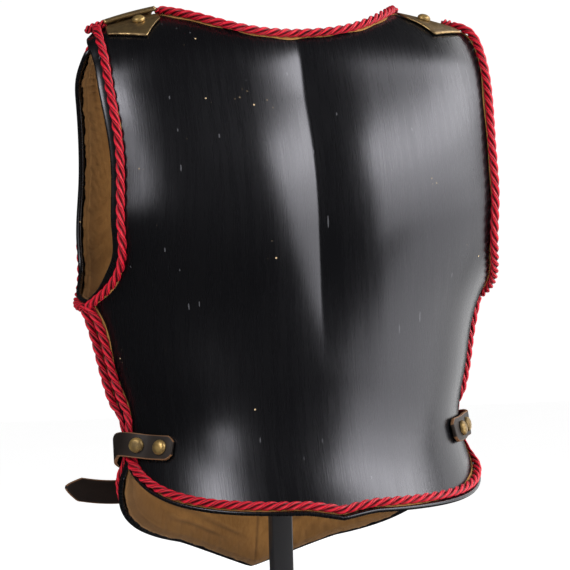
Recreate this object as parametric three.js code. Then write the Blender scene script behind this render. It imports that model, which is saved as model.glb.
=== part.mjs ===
// A two-part cuirass on its display stand: a lined back plate and a lined breast plate
// with corded edges, brass shoulder straps, a buckled waist belt and a steel stand.
// Millimetres, +Z up, +X to the wearer's right, +Y out of the breast.
// The origin is the centre of the stand's foot, on the floor.
import * as THREE from 'three';

// Walls, edges and cords
const BACK_WALL = 1.8;
const BREAST_WALL = 2.4;
const EDGE_LIP = 8;
const HEM_LIP = 6;
const HEM_LIP_TILT = 35;
const ARMHOLE_LIP_TILT = -20;
const SEAM_LIP = 1.2;
const SEAM_LIP_TILT = 15;
const ROLL = 0.9;
const CORD_RADIUS = 3.7;
const CORD_INSET = 2;
const BACK_SEAM_INSET = 6;
const CORD_LIFT = 0.95;
const LINING_GAP = 2;
const LINING_WALL = 1.3;

// The side seam lies this much further forward, and out, on the right than on the left
const SEAM_TWIST = 8;
const SEAM_SHIFT = 2.5;
const SEAM_Y_AT_BELT = 15.5;

// Beside an armhole the metal turns inwards, and both edges sit a little to the right
const ARMHOLE_TURN_FROM_X = 104;
const ARMHOLE_TURN_WIDTH = 54;
const ARMHOLE_SHIFT = 0.33;

// Straps, rivets and buckle
const BELT_WIDTH = 20;
const BELT_WALL = 3;
const BELT_LIFT = 1.8;
const BELT_SIDE_Z = 257;
const BELT_SQUEEZE = 0.55;
const RIVET_RADIUS = 6.2;
const RIVET_HEIGHT = 4;
const LEFT_HINGE_LIFT = 6.2;
const RIGHT_HINGE_LIFT = 4.6;
const RIGHT_HINGE_SAG = 9;
const HINGE_RADIUS = 1.7;
const STRAP_NECK_X = 105;
const STRAP_ARM_X = 148;
const STUD_RADIUS = 5.5;
const STUD_HEIGHT = 4.5;
const TONGUE_WALL = 2.2;
const FITTING_WALL = 1.2;
const FITTING_LIFT = 1.25;
const BUCKLE_WIDTH = 22;
const BUCKLE_HEIGHT = 28;
const BUCKLE_WIRE = 1.6;
const FIT_GAP = 0.5;

// Stand
const FOOT_SIZE = 280;
const FOOT_HEIGHT = 8;
const POST_WIDTH = 18;
const POST_DEPTH = 12;
const POST_Y = 46;
const YOKE_REACH = 138;
const YOKE_BACK_Y = 8;
const YOKE_FRONT_Y = 34;
const YOKE_DEPTH = 9;

// Form tables. Each row is one level of the plate, hem first:
// station, middle y, middle z, side x, side y, side z, degrees from middle to side
const BACK = {
  facing: 1,
  wall: BACK_WALL,
  armpit: 175,
  turnRight: 12,
  armholeTurn: 7.3,
  levels: [
    [0, -115, 196, 158, 4, 206, 80],
    [30, -101, 224, 150.5, 6, 232, 80],
    [65, -90, 259, 143.5, 12, 266, 80],
    [110, -85, 304, 152.5, 19, 306, 80],
    [175, -85, 369, 170, 25, 370, 82],
    [240, -86, 434, 213, 24, 437, 90],
    [290, -76, 486, 228, 16, 488, 90],
    [335, -61, 527, 235, 20, 536, 90],
    [365, -50, 554, 237, 22, 539, 90],
    [395, -36, 582, 237, 22, 528, 90],
    [420, -14, 600, 236, 24, 534, 90],
    [450, 18, 613, 226, 44, 528, 90],
  ],
  crease: (x, q) => ramp(q, 110, 230) * 9.5 * tent(x / 55) ** 2 * (1 - 0.4 * ramp(q, 340, 400)),
  hemCord: (u) => 1 - 2.2 * u,
  hem: (side) => 6.5 - 5 * tent(side / 0.13) ** 1.3 + 46 * side ** 4.5,
  top: (side) => 397 + 53 * Math.min(side / 0.6, 1) ** 2.5,
};

const BREAST = {
  facing: -1,
  wall: BREAST_WALL,
  armpit: 205,
  turnRight: -8,
  armholeTurn: 0,
  levels: [
    [0, 126, 137, 150, 12, 190, 80],
    [40, 112, 174, 146, 14, 220, 80],
    [80, 104, 213, 142.5, 19, 258, 80],
    [140, 108, 273, 152, 26.2, 302, 80],
    [205, 118, 337, 169.5, 32.2, 369, 80],
    [270, 124, 400, 204, 31, 430, 90],
    [330, 120, 460, 215, 26, 486, 90],
    [375, 110, 502, 218, 25, 520, 90],
    [415, 95, 540, 223, 28, 530, 90],
    [450, 72, 570, 228, 28, 530, 90],
    [480, 45, 595, 226, 23, 530, 90],
  ],
  crease: (x) => 5 * tent(x / 80) ** 2,
  hemCord: () => -CORD_INSET,
  hem: (side) => 32 - 21 * tent(side / 0.34) ** 1.4 + 35 * side ** 5,
  top: (side) => 400 + 80 * Math.min(side / 0.6, 1) ** 2,
};

// Grid sizes
const COLUMNS = 18;
const ROWS_BELOW_ARMPIT = 6;
const ROWS_ABOVE_ARMPIT = 12;

const MATERIALS = {
  lacquer: paint(0x0b0b0d, 0.18, 0.1),
  cord: paint(0xc8142f, 0.6, 0),
  linen: paint(0xa88350, 0.95, 0),
  leather: paint(0x2b211c, 0.7, 0),
  brass: paint(0x9c8458, 0.4, 0.9),
  steel: paint(0x1c1d20, 0.45, 0.6),
};

function paint(color, roughness, metalness) {
  return new THREE.MeshStandardMaterial({ color, roughness, metalness });
}

function ramp(x, from, to) {
  const t = Math.min(Math.max((x - from) / (to - from), 0), 1);
  return t * t * (3 - 2 * t);
}

function tent(x) {
  return Math.max(1 - Math.abs(x), 0);
}

function mix(a, b, t) {
  return a + (b - a) * t;
}

function vec(x, y, z) {
  return new THREE.Vector3(x, y, z);
}

function along(start, ...steps) {
  const end = start.clone();
  for (const [direction, distance] of steps) {
    end.addScaledVector(direction, distance);
  }
  return end;
}

function range(count, map) {
  return Array.from({ length: count }, (_, i) => map(i));
}

// Natural cubic spline through rows whose first column is the station
function spline(rows) {
  const n = rows.length;
  const width = rows[0].length;
  const bend = rows.map(() => new Array(width).fill(0));
  for (let sweep = 0; sweep < 60; sweep += 1) {
    for (let i = 1; i < n - 1; i += 1) {
      const h0 = rows[i][0] - rows[i - 1][0];
      const h1 = rows[i + 1][0] - rows[i][0];
      for (let c = 1; c < width; c += 1) {
        const turn = (rows[i + 1][c] - rows[i][c]) / h1 - (rows[i][c] - rows[i - 1][c]) / h0;
        bend[i][c] = (6 * turn - h0 * bend[i - 1][c] - h1 * bend[i + 1][c]) / (2 * (h0 + h1));
      }
    }
  }
  return (s) => {
    let i = 0;
    while (i < n - 2 && s > rows[i + 1][0]) {
      i += 1;
    }
    const h = rows[i + 1][0] - rows[i][0];
    const b = (s - rows[i][0]) / h;
    const a = 1 - b;
    return range(width, (c) => {
      const curl = ((a ** 3 - a) * bend[i][c] + (b ** 3 - b) * bend[i + 1][c]) * h * h / 6;
      return a * rows[i][c] + b * rows[i + 1][c] + curl;
    });
  };
}

// Point of a plate's outer form: p runs from -1 to 1 across, q up from the hem
function formPoint(plate, p, q) {
  plate.curve ??= spline(plate.levels);
  const [, midY, midZ, sideX, sideY, sideZ, wrapDegrees] = plate.curve(q);
  const extra = plate.turnRight * p * ramp(q, plate.armpit + 70, plate.armpit);
  const wrap = THREE.MathUtils.degToRad(wrapDegrees + extra);
  const x = sideX * Math.sin(wrap * p) / Math.sin(wrap) + SEAM_SHIFT * p * p;
  const turn = (1 - Math.cos(wrap * p)) / (1 - Math.cos(wrap));
  const inwards = plate.armholeTurn * armholeBend(plate, x, q);
  const y = mix(midY, sideY + SEAM_TWIST * p, turn) + plate.crease(x, q) + inwards;
  return vec(x + ARMHOLE_SHIFT * inwards, y, mix(midZ, sideZ, turn));
}

// Square of the way outwards to the armhole's edge, at the levels of the armhole only
function armholeBend(plate, x, q) {
  const outwards = Math.max(Math.abs(x) - ARMHOLE_TURN_FROM_X, 0) / ARMHOLE_TURN_WIDTH;
  const beside = ramp(q, plate.armpit + 30, plate.armpit + 105) * ramp(q, 450, 395);
  return beside * outwards ** 2;
}

function formNormal(plate, p, q) {
  const across = formPoint(plate, p + 0.002, q).sub(formPoint(plate, p - 0.002, q));
  const up = formPoint(plate, p, q + 0.5).sub(formPoint(plate, p, q - 0.5));
  return across.cross(up).multiplyScalar(plate.facing).normalize();
}

// How far the armhole leaves the form standing at level q, as a share of its half width
function armholeShare(plate, q) {
  const above = Math.max(q - plate.armpit, 0);
  return 1 - 0.52 * (1 - Math.exp(-above / 30));
}

// Plate coordinates: u from -1 to 1 between its sides, v from 0 at the hem to 1 at the top
function plateStation(plate, u, v) {
  const side = Math.abs(u);
  const edgeLevel = mix(plate.hem(1), plate.top(1), v);
  const level = mix(plate.hem(side), plate.top(side), v);
  return [u * armholeShare(plate, edgeLevel), level];
}

function platePoint(plate, u, v, lift = 0) {
  const [p, q] = plateStation(plate, u, v);
  return along(formPoint(plate, p, q), [formNormal(plate, p, q), lift]);
}

function armpitV(plate) {
  return (plate.armpit - plate.hem(1)) / (plate.top(1) - plate.hem(1));
}

// Row positions with one row exactly at the armpit
function rowPositions(plate) {
  const corner = armpitV(plate);
  const low = range(ROWS_BELOW_ARMPIT, (i) => corner * i / ROWS_BELOW_ARMPIT);
  const high = range(
    ROWS_ABOVE_ARMPIT + 1,
    (i) => mix(corner, 1, (i / ROWS_ABOVE_ARMPIT) ** 1.15),
  );
  return [...low, ...high];
}

// Closed mesh from points and triangles, turned so that its faces point out
function solid(name, material, points, triangles) {
  let volume = 0;
  for (const [a, b, c] of triangles) {
    volume += points[a].dot(points[b].clone().cross(points[c]));
  }
  const faces = volume < 0 ? triangles.map(([a, b, c]) => [a, c, b]) : triangles;
  const geometry = new THREE.BufferGeometry();
  const coordinates = points.flatMap((point) => point.toArray());
  geometry.setAttribute('position', new THREE.Float32BufferAttribute(coordinates, 3));
  geometry.setIndex(faces.flat());
  geometry.computeVertexNormals();
  const mesh = new THREE.Mesh(geometry, MATERIALS[material]);
  mesh.name = name;
  return mesh;
}

// Shell between two equal grids of points, joined round the rim through extra loops
function shell(name, material, outer, inner, loops = []) {
  const columns = outer[0].length - 1;
  const rows = outer.length - 1;
  const stride = columns + 1;
  const count = stride * (rows + 1);
  const points = [...outer.flat(), ...inner.flat(), ...loops.flat()];
  const triangles = [];
  for (let j = 0; j < rows; j += 1) {
    for (let i = 0; i < columns; i += 1) {
      const square = [0, 1, stride + 1, stride].map((step) => j * stride + i + step);
      const [a, b, c, d] = i < columns / 2 ? square : [...square.slice(1), square[0]];
      triangles.push([a, b, c], [a, c, d]);
      triangles.push([count + a, count + c, count + b], [count + a, count + d, count + c]);
    }
  }
  const rim = rimIndices(columns, rows);
  const bands = [rim];
  loops.forEach((loop, k) => bands.push(rim.map((_, i) => 2 * count + k * rim.length + i)));
  bands.push(rim.map((index) => count + index));
  for (let k = 0; k < bands.length - 1; k += 1) {
    triangles.push(...bandTriangles(bands[k], bands[k + 1]));
  }
  return solid(name, material, points, triangles);
}

function rimIndices(columns, rows) {
  const stride = columns + 1;
  return [
    ...range(columns, (i) => i),
    ...range(rows, (j) => j * stride + columns),
    ...range(columns, (i) => rows * stride + columns - i),
    ...range(rows, (j) => (rows - j) * stride),
  ];
}

function bandTriangles(from, to) {
  return from.flatMap((a, i) => {
    const next = (i + 1) % from.length;
    return [[from[next], a, to[i]], [from[next], to[i], to[next]]];
  });
}

// Solid through a row of equal rings, capped at both ends or closed into a loop
function loft(name, material, rings, closed = false) {
  const size = rings[0].length;
  const points = rings.flat();
  const ringIndices = (k) => range(size, (i) => (k % rings.length) * size + i);
  const triangles = [];
  const spans = closed ? rings.length : rings.length - 1;
  for (let k = 0; k < spans; k += 1) {
    triangles.push(...bandTriangles(ringIndices(k), ringIndices(k + 1)));
  }
  if (!closed) {
    for (let i = 1; i < size - 1; i += 1) {
      const end = (rings.length - 1) * size;
      triangles.push([0, i, i + 1], [end, end + i + 1, end + i]);
    }
  }
  return solid(name, material, points, triangles);
}

function directionAt(path, i, closed = false) {
  const n = path.length;
  const next = closed ? path[(i + 1) % n] : path[Math.min(i + 1, n - 1)];
  const last = closed ? path[(i + n - 1) % n] : path[Math.max(i - 1, 0)];
  return next.clone().sub(last).normalize();
}

// Round cord or wire along a path; ups are the directions away from the surface below
function tube(name, material, path, ups, radii, sides, closed = false) {
  const rings = path.map((centre, i) => {
    const forward = directionAt(path, i, closed);
    const across = forward.clone().cross(ups[i]).normalize();
    const up = across.clone().cross(forward);
    const atEnd = !closed && (i === 0 || i === path.length - 1);
    const size = atEnd ? radii[i] * 0.55 : radii[i];
    return range(sides, (k) => {
      const angle = 2 * Math.PI * (k + 0.5) / sides;
      return along(centre, [across, size * Math.cos(angle)], [up, size * Math.sin(angle)]);
    });
  });
  return loft(name, material, rings, closed);
}

// Flat strap along a path; widths can narrow it towards an end
function strap(name, material, path, ups, widths, wall) {
  const rings = path.map((centre, i) => {
    const across = directionAt(path, i).cross(ups[i]).normalize();
    const up = across.clone().cross(directionAt(path, i));
    const half = widths[i] / 2;
    return [[1, 1], [-1, 1], [-1, -1], [1, -1]].map(
      ([a, b]) => along(centre, [across, a * half], [up, b * wall / 2]),
    );
  });
  return loft(name, material, rings);
}

// Domed head of a rivet or stud, with its flat underside at foot
function dome(name, foot, up, radius, height) {
  const turn = new THREE.Quaternion().setFromUnitVectors(vec(0, 0, 1), up);
  const sides = 12;
  const profile = [[1, 0], [1, 0.2], [0.82, 0.62], [0.45, 0.92], [0.12, 1]];
  const rings = profile.map(([r, h]) => range(sides, (k) => {
    const angle = 2 * Math.PI * k / sides;
    const point = vec(r * radius * Math.cos(angle), r * radius * Math.sin(angle), h * height);
    return point.applyQuaternion(turn).add(foot);
  }));
  return loft(name, 'brass', rings);
}

// The plate's rim as a loop of edge points with their outward and surface directions
function rimOf(plate) {
  const rowsAt = rowPositions(plate);
  const loop = [
    ...range(COLUMNS, (i) => [2 * i / COLUMNS - 1, 0]),
    ...rowsAt.slice(0, -1).map((v) => [1, v]),
    ...range(COLUMNS, (i) => [1 - 2 * i / COLUMNS, 1]),
    ...rowsAt.slice(1).reverse().map((v) => [-1, v]),
  ];
  const points = loop.map(([u, v]) => platePoint(plate, u, v));
  return loop.map(([u, v], i) => {
    const normal = formNormal(plate, ...plateStation(plate, u, v));
    const n = points.length;
    const before = points[i].clone().sub(points[(i + n - 1) % n]).normalize();
    const after = points[(i + 1) % n].clone().sub(points[i]).normalize();
    const out = before.add(after).cross(normal).multiplyScalar(plate.facing).normalize();
    return { u, v, point: points[i], normal, out };
  });
}

// Width and tilt of the turned-out lip: broad at the hem and armholes, narrow elsewhere
function lipOf(plate, u, v) {
  const corner = armpitV(plate);
  const hem = v === 0 ? ramp(Math.abs(u), 1.02, 0.9) : 0;
  const armhole = Math.abs(u) === 1 && v < 1 ? ramp(v, corner, corner + 0.06) : 0;
  const broad = Math.max(hem, armhole);
  const tilt = hem > armhole ? HEM_LIP_TILT : ARMHOLE_LIP_TILT;
  return {
    width: mix(SEAM_LIP, hem > armhole ? HEM_LIP : EDGE_LIP, broad),
    tilt: THREE.MathUtils.degToRad(mix(SEAM_LIP_TILT, tilt, broad)),
  };
}

// Loops of the lip's rolled cross-section, from the outer face round to the inner one
function lipLoops(plate, rim) {
  const profile = [
    [-1.6, 0],
    [-0.8, ROLL],
    [0.9, ROLL * 0.8],
    [0.9, -plate.wall - ROLL * 0.8],
    [-0.8, -plate.wall - ROLL],
    [-1.8, -plate.wall],
  ];
  return profile.map(([ahead, above]) => rim.map(({ u, v, point, normal, out }) => {
    const { width, tilt } = lipOf(plate, u, v);
    const reach = out.clone().multiplyScalar(Math.cos(tilt)).addScaledVector(normal, Math.sin(tilt));
    const face = normal.clone().multiplyScalar(Math.cos(tilt)).addScaledVector(out, -Math.sin(tilt));
    return along(point, [reach, width + ahead], [face, above]);
  }));
}

function makePlate(name, plate) {
  const rowsAt = rowPositions(plate);
  const grid = (lift) => rowsAt.map(
    (v) => range(COLUMNS + 1, (i) => platePoint(plate, 2 * i / COLUMNS - 1, v, lift)),
  );
  return shell(name, 'lacquer', grid(0), grid(-plate.wall), lipLoops(plate, rimOf(plate)));
}

// Lining: the plate's own grid a little inside it, stopping just short of its rim
function makeLining(name, plate) {
  const rowsAt = rowPositions(plate).map((v) => Math.min(Math.max(v, 0.015), 0.982));
  const across = (i) => Math.min(Math.max(2 * i / COLUMNS - 1, -0.982), 0.982);
  const grid = (lift) => rowsAt.map(
    (v) => range(COLUMNS + 1, (i) => platePoint(plate, across(i), v, lift)),
  );
  const depth = plate.wall + LINING_GAP;
  return shell(name, 'linen', grid(-depth), grid(-depth - LINING_WALL));
}

// Cord lying on the plate just inside part of its rim, further in along the back's seams
function edgeCord(name, plate, rim) {
  const radii = rim.map(({ point }) => CORD_RADIUS * (1 - BELT_SQUEEZE * underBelt(point)));
  const corner = armpitV(plate);
  const path = rim.map(({ u, v, point, normal, out }, i) => {
    const seam = Math.abs(u) === 1 ? ramp(v, corner + 0.02, corner - 0.06) * ramp(v, 0, 0.1) : 0;
    const inset = mix(CORD_INSET, plate === BACK ? BACK_SEAM_INSET : CORD_INSET, seam);
    const hem = v === 0 ? ramp(Math.abs(u), 1.02, 0.9) : 0;
    const ahead = mix(-inset, plate.hemCord(u), hem);
    const tilt = lipOf(plate, u, v).tilt * ramp(ahead, -1, 1);
    const reach = out.clone().multiplyScalar(Math.cos(tilt)).addScaledVector(normal, Math.sin(tilt));
    const face = normal.clone().multiplyScalar(Math.cos(tilt)).addScaledVector(out, -Math.sin(tilt));
    return along(point, [reach, ahead], [face, radii[i] + CORD_LIFT]);
  });
  return tube(name, 'cord', path, rim.map(({ normal }) => normal), radii, 6);
}

// 1 where the belt presses the side cords flat, 0 away from it
function underBelt(point) {
  return ramp(Math.abs(point.z - BELT_SIDE_Z), 34, 18);
}

function makeCords(side, plate) {
  const rim = rimOf(plate);
  const neck = rim.filter(({ u, v }) => v === 1 && Math.abs(u) < 0.65);
  const top = rim.findIndex(({ u, v }) => u === 1 && v === 1);
  const lower = [...rim.slice(top + COLUMNS), ...rim.slice(0, top)];
  return [edgeCord(`${side}_neck_cord`, plate, neck), edgeCord(`${side}_edge_cord`, plate, lower)];
}

// Brass plate lying on the back plate below one end of the shoulder, pointed at the bottom
function makeShoulderPlate(name, sign) {
  const columns = 6;
  const lowest = (t) => (t < 1 / 3 ? mix(432, 407, 3 * t) : mix(407, 421, 1.5 * t - 0.5));
  const grid = (lift) => range(3, (j) => range(columns + 1, (i) => {
    const t = i / columns;
    const p = sign * mix(0.3, 0.415, t);
    const q = mix(lowest(t), 446.5, j / 2);
    return along(formPoint(BACK, p, q), [formNormal(BACK, p, q), lift]);
  }));
  return shell(name, 'brass', grid(FITTING_LIFT + FITTING_WALL), grid(FITTING_LIFT));
}

// Centre line of a shoulder strap above one x, from its hinge on the back to the breast plate
function shoulderPoint(x, station) {
  const over = (plate, q, lift) => {
    let p = 0.35 * Math.sign(x);
    for (let i = 0; i < 6; i += 1) {
      p *= x / formPoint(plate, p, q).x;
    }
    const point = along(formPoint(plate, p, q), [formNormal(plate, p, q), lift]);
    return [point.y, point.z];
  };
  const [edgeY, edgeZ] = over(BACK, x < 0 ? 447 : 449, x < 0 ? LEFT_HINGE_LIFT : RIGHT_HINGE_LIFT);
  const sag = x < 0 ? 0 : RIGHT_HINGE_SAG;
  const hinge = [edgeY + sag, edgeZ - sag];
  const crown = [hinge[0] + 11, hinge[1] - 0.5];
  const knots = [hinge, crown, over(BREAST, 474, 6.5), over(BREAST, 450, 3)];
  const [, y, z] = spline(knots.map(([ky, kz], i) => [i, ky, kz]))(station);
  return vec(x, y, z);
}

function shoulderStop(x, station) {
  const ahead = shoulderPoint(x, station + 0.05).sub(shoulderPoint(x, station - 0.05));
  const across = shoulderPoint(x + 2, station).sub(shoulderPoint(x - 2, station));
  return { foot: shoulderPoint(x, station), up: across.cross(ahead).normalize() };
}

// Broad brass strap arching over one shoulder
function makeShoulderStrap(name, sign) {
  const columns = 4;
  const rows = 10;
  const grid = (lift) => range(rows + 1, (j) => range(columns + 1, (i) => {
    const x = sign * mix(STRAP_NECK_X, STRAP_ARM_X, i / columns);
    const { foot, up } = shoulderStop(x, mix(0.27, 3, j / rows));
    return along(foot, [up, lift]);
  }));
  return shell(name, 'brass', grid(TONGUE_WALL / 2), grid(-TONGUE_WALL / 2));
}

function makeHinge(name, sign) {
  const path = range(5, (i) => shoulderPoint(sign * mix(STRAP_NECK_X, STRAP_ARM_X, i / 4), 0));
  return tube(name, 'brass', path, path.map(() => vec(0, 0, 1)), path.map(() => HINGE_RADIUS), 8);
}

function makeFrontStud(name, x) {
  const { foot, up } = shoulderStop(x, 2.75);
  return dome(name, along(foot, [up, TONGUE_WALL / 2 + FIT_GAP]), up, STUD_RADIUS, STUD_HEIGHT);
}

function makeBackStud(name, sign) {
  const up = formNormal(BACK, sign * 0.355, 434);
  const lift = FITTING_LIFT + FITTING_WALL + FIT_GAP;
  const foot = along(formPoint(BACK, sign * 0.355, 434), [up, lift]);
  return dome(name, foot, up, STUD_RADIUS, STUD_HEIGHT);
}

// Belt centre line on a plate, lifted over the two cords where it crosses the side seam
const BELT_LEVEL = { back: 56, breast: 80 };
const BELT_TILT = 4.5;

function beltStop(plate, p, extra = 0) {
  const level = (plate === BACK ? BELT_LEVEL.back : BELT_LEVEL.breast) + BELT_TILT * p;
  const point = formPoint(plate, p, level);
  const up = formNormal(plate, p, level);
  const flatCord = 2 * CORD_RADIUS * (1 - BELT_SQUEEZE) + CORD_LIFT + 1;
  const overCord = flatCord * ramp(Math.abs(point.y - SEAM_Y_AT_BELT - SEAM_TWIST * Math.sign(p)), 32, 18);
  const overRidge = plate === BREAST ? 1.4 * tent(p / 0.14) : 0;
  const lift = BELT_LIFT + overCord + overRidge + BELT_WALL / 2 + extra;
  return { centre: along(point, [up, lift]), up };
}

function makeBelt(name, stops, tipWidths = []) {
  const plain = stops.length - tipWidths.length;
  const widths = stops.map((_, i) => (i < plain ? BELT_WIDTH : tipWidths[i - plain]));
  return strap(name, 'leather', stops.map((s) => s.centre), stops.map((s) => s.up), widths, BELT_WALL);
}

function makeLeftTab() {
  const back = range(9, (i) => beltStop(BACK, mix(-0.7, -0.99, i / 8)));
  const front = range(14, (i) => beltStop(BREAST, mix(-0.99, -0.29, i / 13)));
  return makeBelt('belt_left_strap', [...back, ...front]);
}

function makeRightStrap() {
  const back = range(9, (i) => beltStop(BACK, mix(0.635, 0.99, i / 8)));
  const front = range(20, (i) => beltStop(BREAST, mix(0.99, -0.205, i / 19)));
  const rise = beltStop(BREAST, -0.285, 8.4);
  const over = beltStop(BREAST, -0.33, 8.4);
  const tip = vec(-172, 90, 217);
  const tail = range(7, (i) => {
    const t = (i + 1) / 7;
    const centre = over.centre.clone().lerp(tip, t).add(vec(0, 7, -7).multiplyScalar(Math.sin(Math.PI * t)));
    return { centre, up: vec(-0.15, 1, 0.1).normalize() };
  });
  return makeBelt('belt_right_strap', [...back, ...front, rise, over, ...tail], [16, 3]);
}

function makeBuckle() {
  const middle = beltStop(BREAST, -0.255, 4.6);
  const across = vec(1, 0, 0).cross(middle.up).cross(middle.up).negate().normalize();
  const high = middle.up.clone().cross(across).normalize();
  const corners = [[1, 1], [-1, 1], [-1, -1], [1, -1]];
  const path = corners.flatMap(([a, b], i) => {
    const [c, d] = corners[(i + 1) % 4];
    return [0.12, 0.88].map((t) => along(
      middle.centre,
      [across, mix(a, c, t) * BUCKLE_WIDTH / 2],
      [high, mix(b, d, t) * BUCKLE_HEIGHT / 2],
    ));
  });
  return tube('buckle', 'brass', path, path.map(() => middle.up), path.map(() => BUCKLE_WIRE), 8, true);
}

function makeRivet(name, p) {
  const { centre, up } = beltStop(BACK, p);
  const forward = beltStop(BACK, p + 0.02).centre.sub(beltStop(BACK, p - 0.02).centre);
  const face = forward.clone().cross(up).cross(forward).normalize();
  const foot = along(centre, [face, BELT_WALL / 2 + 3.6 * FIT_GAP]);
  return dome(name, foot, face, RIVET_RADIUS, RIVET_HEIGHT);
}

function box(name, material, low, high) {
  const rings = [low[2], high[2]].map((z) => [
    vec(low[0], low[1], z),
    vec(high[0], low[1], z),
    vec(high[0], high[1], z),
    vec(low[0], high[1], z),
  ]);
  return loft(name, material, rings);
}

// Height of the underside of the back lining at the shoulder, above a given x
function shoulderUnderside(x) {
  const share = Math.min(Math.abs(x), YOKE_REACH) / 230;
  const p = Math.asin(share) / (Math.PI / 2);
  const inner = BACK_WALL + LINING_GAP + LINING_WALL;
  return formPoint(BACK, p, 430).z - inner - 2.5;
}

function makeYoke() {
  const stations = [-1, -0.9, -0.78, -0.66, -0.4, -0.16, 0.16, 0.4, 0.66, 0.78, 0.9, 1];
  const rings = stations.map((t) => {
    const x = t * YOKE_REACH;
    const sink = 62 * (1 - ramp(Math.abs(t), 0.1, 0.68));
    const top = shoulderUnderside(x) - sink;
    const front = mix(POST_Y + POST_DEPTH / 2, YOKE_FRONT_Y, ramp(Math.abs(t), 0.15, 0.45));
    return [
      vec(x, YOKE_BACK_Y, top - YOKE_DEPTH),
      vec(x, front, top - YOKE_DEPTH),
      vec(x, front, top),
      vec(x, YOKE_BACK_Y, top),
    ];
  });
  return loft('stand_yoke', 'steel', rings);
}

function makeStand() {
  const half = FOOT_SIZE / 2;
  const wide = POST_WIDTH / 2;
  const deep = POST_DEPTH / 2;
  const yokeBottom = shoulderUnderside(0) - 62 - YOKE_DEPTH;
  return [
    box('stand_foot', 'steel', [-half, -half, 0], [half, half, FOOT_HEIGHT]),
    box(
      'stand_post',
      'steel',
      [-wide, POST_Y - deep, FOOT_HEIGHT + FIT_GAP],
      [wide, POST_Y + deep, yokeBottom - FIT_GAP],
    ),
    makeYoke(),
  ];
}

function makeShoulders() {
  return [['left', -1], ['right', 1]].flatMap(([side, sign]) => [
    makeShoulderPlate(`${side}_shoulder_plate`, sign),
    makeShoulderStrap(`${side}_shoulder_strap`, sign),
    makeHinge(`${side}_shoulder_hinge`, sign),
    makeBackStud(`${side}_shoulder_back_stud`, sign),
    makeFrontStud(`${side}_shoulder_front_stud`, sign * 126),
  ]);
}

function makeBeltSet() {
  return [
    makeLeftTab(),
    makeRightStrap(),
    makeBuckle(),
    makeRivet('left_rivet_inner', -0.765),
    makeRivet('left_rivet_outer', -0.89),
    makeRivet('right_rivet_inner', 0.72),
    makeRivet('right_rivet_outer', 0.86),
  ];
}

const group = new THREE.Group();
group.name = 'cuirass_on_a_stand';
group.add(
  makePlate('back_plate', BACK),
  makePlate('breast_plate', BREAST),
  makeLining('back_lining', BACK),
  makeLining('breast_lining', BREAST),
  ...makeCords('back', BACK),
  ...makeCords('breast', BREAST),
  ...makeShoulders(),
  ...makeBeltSet(),
  ...makeStand(),
);

export default group;
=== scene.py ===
"""A black lacquered cuirass with crimson edge cords, seen from the back on its steel stand.

Shapes are worked out in millimetres with numpy and put into meshes in metres, in the
row frame: +Z up, +Y out of the breast plate, +X to the wearer's right.
"""

import math

import bpy
import numpy as np
from mathutils import Matrix, Vector


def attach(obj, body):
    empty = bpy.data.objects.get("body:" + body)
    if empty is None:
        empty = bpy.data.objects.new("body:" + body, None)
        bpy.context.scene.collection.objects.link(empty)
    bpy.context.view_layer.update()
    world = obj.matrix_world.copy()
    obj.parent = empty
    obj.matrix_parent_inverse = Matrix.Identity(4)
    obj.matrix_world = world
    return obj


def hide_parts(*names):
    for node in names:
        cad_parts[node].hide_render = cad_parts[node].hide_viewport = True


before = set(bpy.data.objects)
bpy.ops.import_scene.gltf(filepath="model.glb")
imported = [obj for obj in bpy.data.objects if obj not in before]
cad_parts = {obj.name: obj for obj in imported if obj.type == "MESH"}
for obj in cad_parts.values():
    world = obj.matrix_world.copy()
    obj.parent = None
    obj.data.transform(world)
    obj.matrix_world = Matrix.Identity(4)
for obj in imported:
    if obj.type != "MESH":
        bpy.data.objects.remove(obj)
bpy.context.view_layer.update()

# ---------------------------------------------------------------- named sizes, mm

BACK_WALL = 1.8
BREAST_WALL = 2.4
ARMHOLE_LIP = 8.0
HEM_LIP = 6.0
HEM_LIP_TILT = 35.0
ARMHOLE_LIP_TILT = -20.0
SEAM_LIP = 1.2
SEAM_LIP_TILT = 15.0
ROLL = 0.9
CORD_RADIUS = 3.7
CORD_INSET = 2.0
SEAM_INSET = 6.0
SEAM_TWIST = 8.0
SEAM_SHIFT = 2.5
ARMHOLE_TURN_FROM_X = 104.0
ARMHOLE_TURN_WIDTH = 54.0
ARMHOLE_SHIFT = 0.33
SEAM_Y_AT_BELT = 15.5
CORD_LIFT = 0.15
LINING_GAP = 2.0
LINING_WALL = 1.3
BELT_WIDTH = 20.0
BELT_WALL = 3.0
BELT_LIFT = 1.8
BELT_SIDE_Z = 257.0
BACK_BELT_LEVEL = 56.0
BREAST_BELT_LEVEL = 80.0
BELT_TILT = 4.5
BELT_SQUEEZE = 0.55
CORD_PLIES = 3
PLY_SHARE = 0.475
CORD_END_RADIUS = 3.9
CORD_END_SPACING = 4.2
CORD_END_REACH = 9.5
OVER_FLAT_CORD = 1.95
LOOSER_LAY = 1.4
RIVET_RADIUS = 6.2
RIVET_HEIGHT = 4.0
STUD_RADIUS = 5.5
STUD_HEIGHT = 4.5
SHOULDER_INNER_X = 105.0
SHOULDER_OUTER_X = 148.0
SHOULDER_STRAP_WALL = 2.2
SHOULDER_PLATE_UNDER = 1.25
SHOULDER_PLATE_OVER = 2.45
HINGE_RADIUS = 1.7
BUCKLE_WIRE_RADIUS = 1.6
RIGHT_HINGE_SAG = 9.0
YOKE_REACH = 138.0
YOKE_BACK_Y = 8.0
YOKE_HEIGHT = 9.0
YOKE_BELOW_BACK = 7.2

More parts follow.
